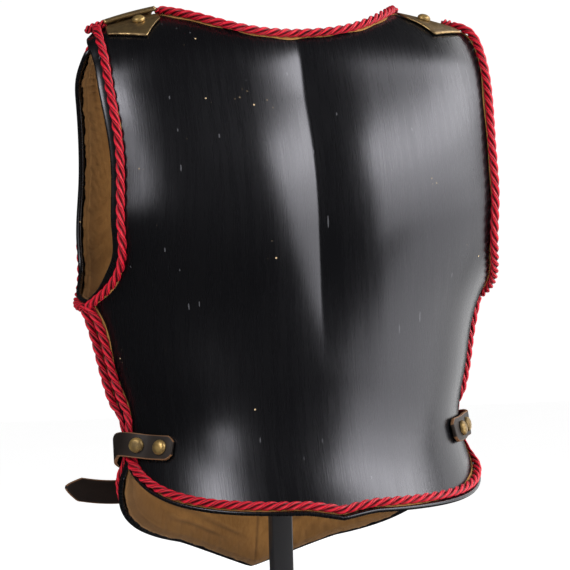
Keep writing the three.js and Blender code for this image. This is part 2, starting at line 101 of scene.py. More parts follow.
# Form tables: station, middle y, middle z, side x, side y, side z, degrees to the side
BACK_LEVELS = np.array([
    [0, -115, 196, 158, 4, 206, 80],
    [30, -101, 224, 150.5, 6, 232, 80],
    [65, -90, 259, 143.5, 12, 266, 80],
    [110, -85, 304, 152.5, 19, 306, 80],
    [175, -85, 369, 170, 25, 370, 82],
    [240, -86, 434, 213, 24, 437, 90],
    [290, -76, 486, 228, 16, 488, 90],
    [335, -61, 527, 235, 20, 536, 90],
    [365, -50, 554, 237, 22, 539, 90],
    [395, -36, 582, 237, 22, 528, 90],
    [420, -14, 600, 236, 24, 534, 90],
    [450, 18, 613, 226, 44, 528, 90],
], float)
BREAST_LEVELS = np.array([
    [0, 126, 137, 150, 12, 190, 80],
    [40, 112, 174, 146, 14, 220, 80],
    [80, 104, 213, 142.5, 19, 258, 80],
    [140, 108, 273, 152, 26.2, 302, 80],
    [205, 118, 337, 169.5, 32.2, 369, 80],
    [270, 124, 400, 204, 31, 430, 90],
    [330, 120, 460, 215, 26, 486, 90],
    [375, 110, 502, 218, 25, 520, 90],
    [415, 95, 540, 223, 28, 530, 90],
    [450, 72, 570, 228, 28, 530, 90],
    [480, 45, 595, 226, 23, 530, 90],
], float)


# ---------------------------------------------------------------- small maths

def ramp(x, start, end):
    """Smooth step: 0 at start, 1 at end, with level ends."""
    t = np.clip((np.asarray(x, float) - start) / (end - start), 0, 1)
    return t * t * (3 - 2 * t)


def tent(x):
    """1 at 0, falling straight to 0 at 1 and at -1."""
    return np.maximum(1 - np.abs(x), 0)


def mix(a, b, t):
    """Straight blend from a at t = 0 to b at t = 1."""
    return a + (b - a) * t


def unit(v):
    """Vectors of an array scaled to length 1."""
    return v / np.maximum(np.linalg.norm(v, axis=-1, keepdims=True), 1e-12)


def ripple(t, waves):
    """Sum of sines of t: each wave is (amplitude, cycles, phase)."""
    return sum(a * np.sin(2 * np.pi * (n * t + phase)) for a, n, phase in waves)


def spline(rows):
    """Natural cubic spline through rows whose first column is the station."""
    x, y = rows[:, 0], rows[:, 1:]
    n, h = len(x), np.diff(rows[:, 0])
    system, turn = np.eye(n), np.zeros_like(y)
    inner = np.arange(1, n - 1)
    system[inner, inner - 1] = h[:-1]
    system[inner, inner] = 2 * (h[:-1] + h[1:])
    system[inner, inner + 1] = h[1:]
    slope = np.diff(y, axis=0) / h[:, None]
    turn[1:-1] = 6 * np.diff(slope, axis=0)
    bend = np.linalg.solve(system, turn)

    def curve(s):
        s = np.asarray(s, float)
        i = np.clip(np.searchsorted(x, s, side="right") - 1, 0, n - 2)
        b = ((s - x[i]) / h[i])[..., None]
        a = 1 - b
        curl = ((a ** 3 - a) * bend[i] + (b ** 3 - b) * bend[i + 1]) * h[i][..., None] ** 2 / 6
        return a * y[i] + b * y[i + 1] + curl

    return curve


# ---------------------------------------------------------------- the plates' form

class Plate:
    """One plate's outer form and the part of it that the metal covers.

    Point (p, q): q picks a level between hem and top, p runs from -1 to 1 round an arc
    from side to side of that level. The metal's own coordinates (u, v) run from -1 to 1
    between its side edges and from 0 at the hem to 1 at the top.

    facing is 1 where the outer face looks to -Y and -1 where it looks to +Y. turn_right is
    degrees added to the arc on the wearer's right below the armpit and taken off on the
    left. hem_cord is how far the hem's cord lies outside the hem line, at each u.
    """

    def __init__(self, levels, facing, wall, armpit, turn_right, armhole_turn, crease, hem_cord,
                 hem, top):
        self.curve = spline(levels)
        self.facing, self.wall, self.armpit, self.turn_right = facing, wall, armpit, turn_right
        self.armhole_turn, self.hem_cord = armhole_turn, hem_cord
        self.crease, self.hem, self.top = crease, hem, top
        self.corner = (armpit - hem(1.0)) / (top(1.0) - hem(1.0))

    def point(self, p, q):
        """x = side x · sin(wrap p) / sin(wrap); y and z blend from middle to side.

        Beside an armhole y bends inwards with the square of the way to its edge.
        """
        mid_y, mid_z, side_x, side_y, side_z, wrap = np.moveaxis(self.curve(q), -1, 0)
        wrap = np.radians(wrap + self.turn_right * p * ramp(q, self.armpit + 70, self.armpit))
        x = side_x * np.sin(wrap * p) / np.sin(wrap) + SEAM_SHIFT * p * p
        turn = (1 - np.cos(wrap * p)) / (1 - np.cos(wrap))
        outwards = np.maximum(np.abs(x) - ARMHOLE_TURN_FROM_X, 0) / ARMHOLE_TURN_WIDTH
        beside = ramp(q, self.armpit + 30, self.armpit + 105) * ramp(q, 450, 395)
        inwards = self.armhole_turn * beside * outwards ** 2
        y = mix(mid_y, side_y + SEAM_TWIST * p, turn) + self.crease(x, q) + inwards
        return np.stack([x + ARMHOLE_SHIFT * inwards, y, mix(mid_z, side_z, turn)], -1)

    def normal(self, p, q):
        """Outward unit normal from differences of the form across and up."""
        across = self.point(p + 0.002, q) - self.point(p - 0.002, q)
        up = self.point(p, q + 0.5) - self.point(p, q - 0.5)
        return unit(np.cross(across, up)) * self.facing

    def station(self, u, v):
        """(u, v) on the metal to (p, q) on the form; the armhole takes its share of p."""
        side = np.abs(u)
        edge_level = mix(self.hem(1.0), self.top(1.0), v)
        level = mix(self.hem(side), self.top(side), v)
        above = np.maximum(edge_level - self.armpit, 0)
        share = 1 - 0.52 * (1 - np.exp(-above / 30))
        return u * share, level

    def on(self, u, v, lift=0.0):
        """Point of the metal at (u, v), lifted along the form's normal."""
        p, q = self.station(u, v)
        lift = np.asarray(lift, float)
        return self.point(p, q) + self.normal(p, q) * lift[..., None]


BACK = Plate(
    BACK_LEVELS, facing=1, wall=BACK_WALL, armpit=175.0, turn_right=12.0, armhole_turn=7.3,
    crease=lambda x, q: ramp(q, 110, 230) * 9.5 * tent(x / 55) ** 2 * (1 - 0.4 * ramp(q, 340, 400)),
    hem_cord=lambda u: 1 - 2.2 * u,
    hem=lambda side: 6.5 - 5 * tent(side / 0.13) ** 1.3 + 46 * side ** 4.5,
    top=lambda side: 397 + 53 * np.minimum(side / 0.6, 1) ** 2.5,
)
BREAST = Plate(
    BREAST_LEVELS, facing=-1, wall=BREAST_WALL, armpit=205.0, turn_right=-8.0, armhole_turn=0.0,
    crease=lambda x, q: 5 * tent(x / 80) ** 2,
    hem_cord=lambda u: -CORD_INSET + 0 * u,
    hem=lambda side: 32 - 21 * tent(side / 0.34) ** 1.4 + 35 * side ** 5,
    top=lambda side: 400 + 80 * np.minimum(side / 0.6, 1) ** 2,
)


# ---------------------------------------------------------------- meshes

def add_mesh(name, points, faces, **attributes):
    """Mesh object from points in mm and blocks of faces; attributes are one number a point."""
    mesh = bpy.data.meshes.new(name)
    polygons = [polygon for block in faces for polygon in block.tolist()]
    mesh.from_pydata((np.asarray(points) / 1000).tolist(), [], polygons)
    mesh.polygons.foreach_set("use_smooth", np.full(len(mesh.polygons), True))
    for key, values in attributes.items():
        layer = mesh.attributes.new(key, "FLOAT", "POINT")
        layer.data.foreach_set("value", np.asarray(values, np.float32).ravel())
    turn_outwards(mesh)
    mesh.update()
    obj = bpy.data.objects.new(name, mesh)
    bpy.context.scene.collection.objects.link(obj)
    return obj


def turn_outwards(mesh):
    """Flips a closed mesh whose signed volume is negative."""
    mesh.calc_loop_triangles()
    corner = np.zeros(len(mesh.vertices) * 3)
    mesh.vertices.foreach_get("co", corner)
    corner = corner.reshape(-1, 3)
    index = np.zeros(len(mesh.loop_triangles) * 3, np.int32)
    mesh.loop_triangles.foreach_get("vertices", index)
    a, b, c = (corner[index.reshape(-1, 3)[:, k]] for k in range(3))
    if np.einsum("ij,ij->i", a, np.cross(b, c)).sum() < 0:
        mesh.flip_normals()


def grid_faces(rows, columns, closed_rows=False, closed_columns=False, start=0):
    """Quads of a grid of rows × columns points, joined round where it is closed."""
    j = np.arange(rows if closed_rows else rows - 1)
    i = np.arange(columns if closed_columns else columns - 1)
    jj, ii = np.meshgrid(j, i, indexing="ij")
    j1, i1 = (jj + 1) % rows, (ii + 1) % columns
    quads = np.stack([jj * columns + ii, jj * columns + i1, j1 * columns + i1, j1 * columns + ii], -1)
    return quads.reshape(-1, 4) + start


def rim_indices(rows, columns):
    """Indices of a grid's border, once round."""
    bottom = np.arange(columns - 1)
    right = np.arange(rows - 1) * columns + columns - 1
    top = (rows - 1) * columns + np.arange(columns - 1, 0, -1)
    left = np.arange(rows - 1, 0, -1) * columns
    return np.concatenate([bottom, right, top, left])


def band_faces(a, b):
    """Quads between two loops of indices of equal length."""
    return np.stack([a, np.roll(a, -1), np.roll(b, -1), b], -1)


def shell(name, outer, inner, loops=(), **attributes):
    """Closed shell: an outer and an inner grid joined round the rim through extra loops.

    The inner grid's faces run the other way round, and each band joins one loop of the
    rim's cross-section to the next.
    """
    rows, columns = outer.shape[:2]
    count = rows * columns
    rim = rim_indices(rows, columns)
    bands = [rim] + [2 * count + k * len(rim) + np.arange(len(rim)) for k in range(len(loops))]
    bands.append(rim + count)
    faces = [grid_faces(rows, columns), grid_faces(rows, columns, start=count)[:, ::-1]]
    faces += [band_faces(b, a) for a, b in zip(bands[:-1], bands[1:])]
    points = np.concatenate([outer.reshape(-1, 3), inner.reshape(-1, 3), *loops])
    return add_mesh(name, points, faces, **attributes)


def frames_along(path, ups, closed=False):
    """Unit forward, across and up directions at each point of a path."""
    if closed:
        forward = unit(np.roll(path, -1, 0) - np.roll(path, 1, 0))
    else:
        forward = unit(np.gradient(path, axis=0))
    across = unit(np.cross(forward, ups))
    return forward, across, np.cross(across, forward)


def sweep(name, path, ups, section, closed=False, scale=None, **attributes):
    """Profile carried along a path: section is (n, 2) across and up, scaled per point.

    Open ends close on a point at the end of the path.
    """
    _, across, up = frames_along(path, ups, closed)
    scale = np.ones((len(path), 2)) if scale is None else np.asarray(scale, float)
    a = section[None, :, 0] * scale[:, 0, None]
    b = section[None, :, 1] * scale[:, 1, None]
    rings = path[:, None] + across[:, None] * a[..., None] + up[:, None] * b[..., None]
    rows, columns = rings.shape[:2]
    faces = [grid_faces(rows, columns, closed, True)]
    points = rings.reshape(-1, 3)
    if closed:
        return add_mesh(name, points, faces, **attributes)
    points = np.concatenate([points, rings[[0, -1]].mean(1)])
    attributes = {k: np.concatenate([np.ravel(v), [0, 0]]) for k, v in attributes.items()}
    return add_mesh(name, points, faces + cap_faces(rows, columns), **attributes)


def cap_faces(rows, sides, start=0):
    """Fans closing a tube's two ends on the two points that follow its rings."""
    i = np.arange(sides)
    last = (rows - 1) * sides + i
    first_tip = np.full(sides, rows * sides)
    first = np.stack([np.roll(i, -1), i, first_tip], -1)
    final = np.stack([last, np.roll(last, -1), first_tip + 1], -1)
    return [first + start, final + start]


def resample(path, step, *carried):
    """Points at equal steps of length along a path, with carried arrays read there too."""
    length = np.concatenate([[0], np.cumsum(np.linalg.norm(np.diff(path, axis=0), axis=1))])
    at = np.linspace(0, length[-1], max(int(round(length[-1] / step)) + 1, 4))
    read = [
        np.stack([np.interp(at, length, part[:, k]) for k in range(part.shape[1])], -1)
        for part in (path, *carried)
    ]
    return at, *read


def smooth_path(path, passes):
    """Points drawn towards the mean of their neighbours, ends kept."""
    for _ in range(passes):
        path[1:-1] = (path[:-2] + 2 * path[1:-1] + path[2:]) / 4
    return path


def rounded_section(width, height, radius, steps=5):
    """Rectangle with rounded corners, as (n, 2) points once round."""
    corner = np.array([[1, 1], [-1, 1], [-1, -1], [1, -1]])
    angle = np.radians(np.linspace(0, 90, steps))
    centre = corner * [width / 2 - radius, height / 2 - radius]
    start = np.radians([0, 90, 180, 270])
    arcs = [
        centre[k] + radius * np.stack([np.cos(start[k] + angle), np.sin(start[k] + angle)], -1)
        for k in range(4)
    ]
    return np.concatenate(arcs)


# ---------------------------------------------------------------- plates and linings

COLUMNS = 150
ROWS_LOW = 48
ROWS_HIGH = 90


def plate_grid(plate):
    """(u, v) of the metal's grid, with one row exactly at the armpit."""
    low = plate.corner * np.arange(ROWS_LOW) / ROWS_LOW
    high = mix(plate.corner, 1, (np.arange(ROWS_HIGH + 1) / ROWS_HIGH) ** 1.15)
    u = np.linspace(-1, 1, COLUMNS + 1)
    return np.meshgrid(u, np.concatenate([low, high]))


def rim_of(plate):
    """The metal's rim once round: u, v, point, surface normal and outward direction."""
    u, v = plate_grid(plate)
    index = rim_indices(*u.shape)
    u, v = u.ravel()[index], v.ravel()[index]
    point = plate.on(u, v, np.zeros(len(u)))
    normal = plate.normal(*plate.station(u, v))
    before = unit(point - np.roll(point, 1, 0))
    after = unit(np.roll(point, -1, 0) - point)
    out = unit(np.cross(before + after, normal)) * plate.facing
    for _ in range(3):
        out = unit(np.roll(out, 1, 0) + 2 * out + np.roll(out, -1, 0))
    return u, v, point, normal, out


def lip_of(plate, u, v):
    """Width and tilt of the turned lip: broad at hem and armholes, narrow elsewhere."""
    hem = np.where(v == 0, ramp(np.abs(u), 1.02, 0.9), 0)
    armhole = np.where((np.abs(u) == 1) & (v < 1), ramp(v, plate.corner, plate.corner + 0.06), 0)
    broad = np.maximum(hem, armhole)
    width = np.where(hem > armhole, HEM_LIP, ARMHOLE_LIP)
    tilt = np.where(hem > armhole, HEM_LIP_TILT, ARMHOLE_LIP_TILT)
    return mix(SEAM_LIP, width, broad), np.radians(mix(SEAM_LIP_TILT, tilt, broad))


def tilted(out, normal, tilt):
    """The outward and upward directions turned by a tilt towards the normal."""
    return out * np.cos(tilt) + normal * np.sin(tilt), normal * np.cos(tilt) - out * np.sin(tilt)


def make_plate(name, plate):
    """Sheet of metal: the form's grid, the same grid one wall inside, and a rolled lip.

    The lip's cross-section leaves the outer face, rises into a small round roll at the
    edge and comes back under it to the inner face.
    """
    u, v = plate_grid(plate)
    outer = plate.on(u, v, np.zeros_like(u))
    inner = plate.on(u, v, np.full_like(u, -plate.wall))
    ru, rv, point, normal, out = rim_of(plate)
    width, tilt = lip_of(plate, ru, rv)
    reach, face = tilted(out, normal, tilt[:, None])
    half = plate.wall / 2 + ROLL
    angle = np.radians(np.linspace(125, -125, 11))
    roll = np.stack([half * np.cos(angle) * 0.9, half * np.sin(angle) - plate.wall / 2], -1)
    profile = [(-0.75, 0.0), (-0.45, 0.0), *roll, (-0.45, -plate.wall), (-0.75, -plate.wall)]
    loops = []
    for k, (ahead, above) in enumerate(profile):
        flat = k in (0, 1, len(profile) - 2, len(profile) - 1)
        along = width * (1 + ahead) if flat else width + ahead
        loops.append(point + reach * np.asarray(along)[:, None] + face * above)
    steps = np.linalg.norm(np.diff(outer, axis=1), axis=2)
    across = np.concatenate([np.zeros((len(u), 1)), np.cumsum(steps, 1)], 1)
    across = (across - across[:, [COLUMNS // 2]]).ravel()
    upwards = plate.station(u, v)[1].ravel()
    rim = rim_indices(*u.shape)
    across, upwards = (
        np.concatenate([np.tile(part, 2), np.tile(part[rim], len(profile))])
        for part in (across, upwards)
    )
    return shell(name, outer, inner, loops, plate_across=across, plate_up=upwards)


def make_lining(name, plate, waves, folds):
    """Linen inside a plate, reaching out along the lip and puckered towards its edge.

    Depth below the plate is the lining gap, ripples along the edge that fade inwards, a
    raised seam up the middle and soft folds: each fold is a bell curve about a line
    v = start + slope u, between two values of u.
    """
    u0, v0 = plate_grid(plate)
    u, v = u0 * 0.996, 0.003 + v0 * 0.994
    near_edge = np.maximum(ramp(np.abs(u0), 0.6, 1.0), np.maximum(ramp(v0, 0.15, 0), ramp(v0, 0.88, 1)))
    along = np.where(np.abs(u0) > 0.5, v0 * 3.1, u0 * 1.7)
    waviness = ripple(along * 4 + near_edge * 0.3, waves)
    pucker = 1.3 * near_edge * (1 + waviness)
    seam = 0.9 * np.exp(-(u0 * 150 / 3) ** 2) - 0.5 * np.exp(-(u0 * 150 / 1.0) ** 2)
    # crease starts as a dark line in the seam's groove: painted shade
    fold, crease = np.zeros_like(u0), 0.8 * np.exp(-(u0 * 150 / 0.9) ** 2)
    for start, slope, low, high, width, rise in folds:
        away = (v0 - start - slope * u0) / width
        shown = ramp(u0, low, low + 0.12) * ramp(u0, high, high - 0.12)
        fold += rise * np.exp(-away ** 2) * shown
        # painted shade: a dark band just below each fold
        crease += 0.75 * np.exp(-((away + 1.3) / 0.6) ** 2) * shown
    base = plate.wall + 0.5 + LINING_GAP * 0.6
    outer = plate.on(u, v, -base - 0.3 * pucker)
    inner = plate.on(u, v, -base - LINING_WALL - pucker - seam - fold)

    ru, rv, point, normal, out = rim_of(plate)
    width, tilt = lip_of(plate, ru, rv)
    reach, face = tilted(out, normal, tilt[:, None])
    around = np.arange(len(ru)) / len(ru)
    reached = width * (0.5 + np.where(rv == 0, 0.1, 0.22) * ripple(around * 9, waves))
    swell = 0.5 * (1 + ripple(around * 12 + 0.4, waves))
    profile = [(0.45, 0.5, 0), (0.9, 0.55, 0), (1.0, 0.9, 0.3), (0.93, 1.3, 1), (0.45, 1.9, 1)]
    loops = [
        point + reach * (reached * ahead)[:, None] - face * (plate.wall + below + swell * puffed)[:, None]
        for ahead, below, puffed in profile
    ]
    # painted shade: darker towards the lining's edge under the lip, in the dips of the puckers, in the
    # seam's groove and below each fold
    dip = np.clip(-waviness, 0, 1) * near_edge
    soil = np.tile(np.clip(near_edge ** 6 * 0.7 + crease + 0.2 * dip, 0, 1).ravel(), 2)
    edge_along = np.tile(around * 2000, len(profile))
    edge_across = np.repeat(np.arange(len(profile)) * 1.5, len(ru))
    across = np.tile((inner[..., 0] * 1.2).ravel(), 2)
    level = np.tile(inner[..., 2].ravel(), 2)
    # painted shade: the lining's turned edge along the lip is darkened at 0.8 all round
    return shell(name, outer, inner, loops,
                 cloth_across=np.concatenate([across, edge_along]),
                 cloth_along=np.concatenate([level, edge_across]),
                 cloth_soil=np.concatenate([soil, np.full(len(edge_along), 0.8)]))


# ---------------------------------------------------------------- cords

def under_belt(point):
    """1 where the belt presses the side cords flat, 0 away from it."""
    return ramp(np.abs(point[:, 2] - BELT_SIDE_Z), 34, 18) * ramp(np.abs(point[:, 0]), 100, 120)


def twisted_cord(name, centre, ups, squeeze, radius, spacing):
    """Three plies wound round a path like a rope.

    Each ply's centre circles the path once every three spacings of length, and its own
    round section stays square to the path. squeeze flattens the cord against the plate.
    """
    length, centre, ups, squeeze, spacing = resample(centre, 1.0, ups, squeeze, spacing)
    centre = smooth_path(centre, 3)
    _, across, up = frames_along(centre, ups)
    squeeze = squeeze[:, 0]
    turn = np.concatenate([[0], np.cumsum(1 / (CORD_PLIES * spacing[1:, 0]))]) * 2 * np.pi
    turn = turn * np.mean(np.diff(length))
    ply_radius = radius * PLY_SHARE
    orbit = radius - ply_radius
    sides = 10
    around = 2 * np.pi * np.arange(sides) / sides
    lower = 1 - BELT_SQUEEZE * squeeze
    broader = 1 + 0.3 * squeeze
    ends = np.minimum(length, length[-1] - length)
    taper = 0.35 + 0.65 * np.sqrt(np.clip(ends / 4, 0, 1))
    points, faces, rope_along, rope_around = [], [], [], []
    for k in range(CORD_PLIES):
        phase = turn + 2 * np.pi * k / CORD_PLIES
        ply = taper[:, None] * ply_radius
        a = taper[:, None] * orbit * np.cos(phase)[:, None] + ply * np.cos(around + phase[:, None])
        b = taper[:, None] * orbit * np.sin(phase)[:, None] + ply * np.sin(around + phase[:, None])
        a, b = a * broader[:, None], b * lower[:, None]
        rings = centre[:, None] + across[:, None] * a[..., None] + up[:, None] * b[..., None]
        start = k * (len(rings) * sides + 2)
        faces += [grid_faces(len(rings), sides, False, True, start), *cap_faces(len(rings), sides, start)]
        points += [rings.reshape(-1, 3), rings[[0, -1]].mean(1)]
        rope_along += [np.repeat(length, sides), [0, length[-1]]]
        rope_around += [np.tile(around / (2 * np.pi), len(rings)), [0, 0]]
    return add_mesh(name, np.concatenate(points), faces,
                    rope_along=np.concatenate(rope_along), rope_around=np.concatenate(rope_around))


def rim_part(plate, neck):
    """Rim points under the neck cord, or under the cord round sides, armholes and hem."""
    u, v, point, normal, out = rim_of(plate)
    if neck:
        keep = (v == 1) & (np.abs(u) < 0.65)
        return [part[keep] for part in (u, v, point, normal, out)]
    top_right = int(np.argmax((u == 1) & (v == 1)))
    top_left = int(np.argmax((u == -1) & (v == 1)))
    order = (top_left + np.arange(len(u) - (top_left - top_right) + 1)) % len(u)
    return [part[order] for part in (u, v, point, normal, out)]


def cord_route(plate, neck):
    """Centre line of a cord lying just inside the rim, its ups and its flattening."""
    u, v, point, normal, out = rim_part(plate, neck)
    squeeze = under_belt(point)
    height = CORD_RADIUS * (1 - BELT_SQUEEZE * squeeze) + CORD_LIFT
    side = np.abs(u) == 1
    seam = np.where(side, ramp(v, plate.corner + 0.02, plate.corner - 0.06) * ramp(v, 0, 0.1), 0)
    inset = mix(CORD_INSET, SEAM_INSET if plate is BACK else CORD_INSET, seam)
    hem = np.where(v == 0, ramp(np.abs(u), 1.02, 0.9), 0)
    ahead = mix(-inset, plate.hem_cord(u), hem)[:, None]
    tilt = lip_of(plate, u, v)[1][:, None] * ramp(ahead, -1, 1)
    reach, face = tilted(out, normal, tilt)
    return point + reach * ahead, face, height[:, None], squeeze[:, None]


def make_cord(name, plate, neck, spacing, loose=0.0):
    """One edge cord; spacing is its length from one ply to the next.

    loose adds to the spacing beside the left armhole, where the cord was laid less tightly.
    """
    foot, ups, height, squeeze = cord_route(plate, neck)
    u, v = rim_part(plate, neck)[:2]
    spacings = spacing + loose * np.where(u == -1, ramp(v, plate.corner, plate.corner + 0.08), 0)
    return twisted_cord(name, foot + ups * height, ups, squeeze, CORD_RADIUS, spacings[:, None])


def make_tape(name, plate, neck, waves):
    """Narrow woven tape under a cord, wandering a little to either side of it.

    Beside the armholes the cord hides it, so it is half as broad there.
    """
    foot, ups, _, _ = cord_route(plate, neck)
    u, v = rim_part(plate, neck)[:2]
    armhole = np.where(np.abs(u) == 1, ramp(v, plate.corner, plate.corner + 0.06), 0)
    at, foot, ups, share = resample(foot, 2.0, ups, (1 - 0.5 * armhole)[:, None])
    foot, ups = smooth_path(foot, 4), unit(smooth_path(ups, 4))
    _, across, up = frames_along(foot, ups)
    wander = 1.2 * ripple(at / at[-1], waves)
    path = foot + across * wander[:, None] + up * 0.35
    section = rounded_section(5.2, 0.5, 0.2, 3)
    return sweep(name, path, ups, section, scale=np.concatenate([share, np.ones_like(share)], 1))


def make_cord_end(name, plate, side):
    """Short bound bundle lying across the top end of an armhole's cord."""
    foot, ups, height, _ = cord_route(plate, False)
    end, inwards = (-1, -2) if side > 0 else (0, 1)
    middle, up = foot[end] + ups[end] * (height[end] + 0.6), ups[end]
    ahead = unit(foot[inwards] - foot[end])
    across = unit(np.cross(ahead, up))
    t = np.linspace(-1, 1, 24)[:, None]
    path = middle + across * t * CORD_END_REACH - up * 1.2 * t ** 2 - ahead * 1.5
    ups, squeeze = np.tile(up, (len(t), 1)), np.zeros_like(t)
    return twisted_cord(name, path, ups, squeeze, CORD_END_RADIUS, np.full_like(t, CORD_END_SPACING))


# ---------------------------------------------------------------- belt

def belt_stops(plate, p, extra=0.0):
    """Belt centre line on a plate at shares p, lifted over the cords at the side seam."""
    level = (BACK_BELT_LEVEL if plate is BACK else BREAST_BELT_LEVEL) + BELT_TILT * p
    point, up = plate.point(p, level), plate.normal(p, level)
    flat_cord = 2 * CORD_RADIUS * (1 - BELT_SQUEEZE) + OVER_FLAT_CORD
    seam_y = SEAM_Y_AT_BELT + SEAM_TWIST * np.sign(p)
    over_cord = flat_cord * ramp(np.abs(point[:, 1] - seam_y), 32, 18)
    over_ridge = 1.4 * tent(p / 0.14) if plate is BREAST else 0
    lift = BELT_LIFT + over_cord + over_ridge + BELT_WALL / 2 + extra
    return point + up * np.reshape(lift, (-1, 1)), up


def leather_strap(name, path, ups, tips):
    """Flat strap with rounded edges along a path.

    tips gives for each end (length, share): the width grows from share of the full width
    to all of it over that length, along a quarter of an ellipse.
    """
    at, path, ups = resample(path, 1.6, ups)
    path, ups = smooth_path(path, 8), unit(smooth_path(ups, 8))
    width = np.ones(len(at))
    for distance, (length, share) in zip((at, at[-1] - at), tips):
        t = np.clip(distance / length, 0, 1)
        width = np.minimum(width, mix(share, 1, t ** 0.75))
    scale = np.stack([width, np.ones(len(at))], -1)
    section = rounded_section(BELT_WIDTH, BELT_WALL, 0.8, 5)
    across = np.tile(section[:, 0] / (BELT_WIDTH / 2), (len(at), 1))
    return sweep(name, path, ups, section, scale=scale, strap_across=across,
                 strap_along=np.repeat(at, len(section)))


def make_left_strap():
    """Short belt tab: the belt's line from the back plate round the left seam to the breast."""
    back, back_up = belt_stops(BACK, np.linspace(-0.7, -0.99, 24))
    front, front_up = belt_stops(BREAST, np.linspace(-0.99, -0.29, 40))
    path, ups = np.concatenate([back, front]), np.concatenate([back_up, front_up])
    return leather_strap("belt_left_leather", path, ups, [(5, 0.55), (1, 0.95)])


def make_right_strap():
    """Long belt strap round the right seam and across the breast, with a hanging bowed tail."""
    back, back_up = belt_stops(BACK, np.linspace(0.635, 0.99, 30))
    front, front_up = belt_stops(BREAST, np.linspace(0.99, -0.205, 80))
    rise, rise_up = belt_stops(BREAST, np.array([-0.285, -0.33]), 8.4)
    tip = np.array([-172.0, 90, 217])
    t = (np.arange(14) + 1)[:, None] / 14
    tail = mix(rise[-1], tip, t) + np.array([0, 7, -7]) * np.sin(np.pi * t)
    tail_up = np.tile(unit(np.array([-0.15, 1, 0.1])), (14, 1))
    path = np.concatenate([back, front, rise, tail])
    ups = np.concatenate([back_up, front_up, rise_up, tail_up])
    return leather_strap("belt_right_leather", path, ups, [(5, 0.55), (14, 0.12)])


# ---------------------------------------------------------------- brass

def dome(name, foot, up, radius, height):
    """Domed rivet head: a rim, a rounded cap and a flat underside, turned about up."""
    t = np.linspace(0, 1, 14)[:-1]
    r = np.concatenate([[0.92, 1, 1], np.cos(t * np.pi / 2) ** 0.8])[:, None]
    h = np.concatenate([[0, 0.05, 0.18], 0.2 + 0.8 * np.sin(t * np.pi / 2)])[:, None]
    sides = 40
    angle = 2 * np.pi * np.arange(sides) / sides
    side = unit(np.cross(up, [0.0, 0.0, 1.0]))
    over = np.cross(up, side)
    rings = (foot + up * (h * height)[..., None]
             + side * (radius * r * np.cos(angle))[..., None]
             + over * (radius * r * np.sin(angle))[..., None])
    rows = len(rings)
    points = np.concatenate([rings.reshape(-1, 3), [foot, foot + up * height]])
    return add_mesh(name, points, [grid_faces(rows, sides, False, True), *cap_faces(rows, sides)])


def make_rivet(name, p):
    """Domed rivet standing on the belt at share p of the back plate."""
    at = np.array([p - 0.02, p, p + 0.02])
    centre, up = belt_stops(BACK, at)
    forward = centre[2] - centre[0]
    face = unit(np.cross(np.cross(forward, up[1]), forward))
    return dome(name, centre[1] + face * (BELT_WALL / 2 + 0.2), face, RIVET_RADIUS, RIVET_HEIGHT)


def shoulder_knots(x):
    """Side view (y, z) of the shoulder strap's line above one x: four knots."""
    def over(plate, q, lift):
        p = 0.35 * np.sign(x)
        for _ in range(6):
            p *= x / plate.point(np.array(p), np.array(float(q)))[0]
        p, q = np.array(p), np.array(float(q))
        return (plate.point(p, q) + plate.normal(p, q) * lift)[1:]
    hinge = over(BACK, 447, 6.2) if x < 0 else over(BACK, 449, 4.6) + RIGHT_HINGE_SAG * np.array([1, -1])
    crown = hinge + [11, -0.5]
    return np.array([hinge, crown, over(BREAST, 474, 6.5), over(BREAST, 450, 3)])


def shoulder_surface(sign, xs, stations):
    """Points (station, x) of the shoulder strap's middle surface and its normals."""
    lines = []
    for x in xs:
        knots = shoulder_knots(sign * x)
        curve = spline(np.column_stack([np.arange(4), knots]))
        yz = curve(stations)
        lines.append(np.column_stack([np.full(len(stations), sign * x), yz]))
    points = np.stack(lines, 1)
    ahead = np.gradient(points, axis=0)
    across = np.gradient(points, axis=1)
    normal = unit(np.cross(across, ahead))
    return points, normal * np.sign(normal[:, :, 2:3].mean())


def make_shoulder_strap(name, sign):
    """Brass strap over a shoulder: the shoulder surface thickened to both sides."""
    xs = np.linspace(SHOULDER_INNER_X, SHOULDER_OUTER_X, 22)
    points, normal = shoulder_surface(sign, xs, np.linspace(0.27, 3, 60))
    half = normal * SHOULDER_STRAP_WALL / 2
    return shell(name, points + half, points - half)


def make_shoulder_plate(name, sign):
    """Thin brass plate lying on the back plate, pointed at the bottom."""
    t = np.linspace(0, 1, 41)
    lowest = np.interp(t, [0, 1 / 3, 1], [432, 407, 421])
    rows = np.linspace(0, 1, 12)[:, None]
    p = sign * mix(0.3, 0.447, t)[None] * np.ones((12, 1))
    q = mix(lowest[None], 446.5, rows)
    normal = BACK.normal(p, q)
    base = BACK.point(p, q)
    return shell(name, base + normal * SHOULDER_PLATE_OVER, base + normal * SHOULDER_PLATE_UNDER)


def make_hinge(name, sign):
    """Round pin lying along the shoulder strap's back edge."""
    xs = np.linspace(SHOULDER_INNER_X, SHOULDER_OUTER_X, 24)
    points, _ = shoulder_surface(sign, xs, np.array([0.0, 0.05]))
    path = points[0]
    angle = 2 * np.pi * np.arange(16) / 16
    section = HINGE_RADIUS * np.stack([np.cos(angle), np.sin(angle)], -1)
    return sweep(name, path, np.tile([0.0, 0, 1], (24, 1)), section)


def make_front_stud(name, sign):
    """Domed stud on the shoulder strap, near its end on the breast."""
    points, normal = shoulder_surface(sign, np.array([124.0, 126, 128]), np.linspace(2.65, 2.85, 5))
    return dome(name, points[2, 1] + normal[2, 1] * 1.4, normal[2, 1], STUD_RADIUS, STUD_HEIGHT)


def make_back_stud(name, sign):
    """Domed stud on the back plate's shoulder plate."""
    p, q = np.array(sign * 0.355), np.array(434.0)
    up = BACK.normal(p, q)
    return dome(name, BACK.point(p, q) + up * 2.5, up, STUD_RADIUS, STUD_HEIGHT)


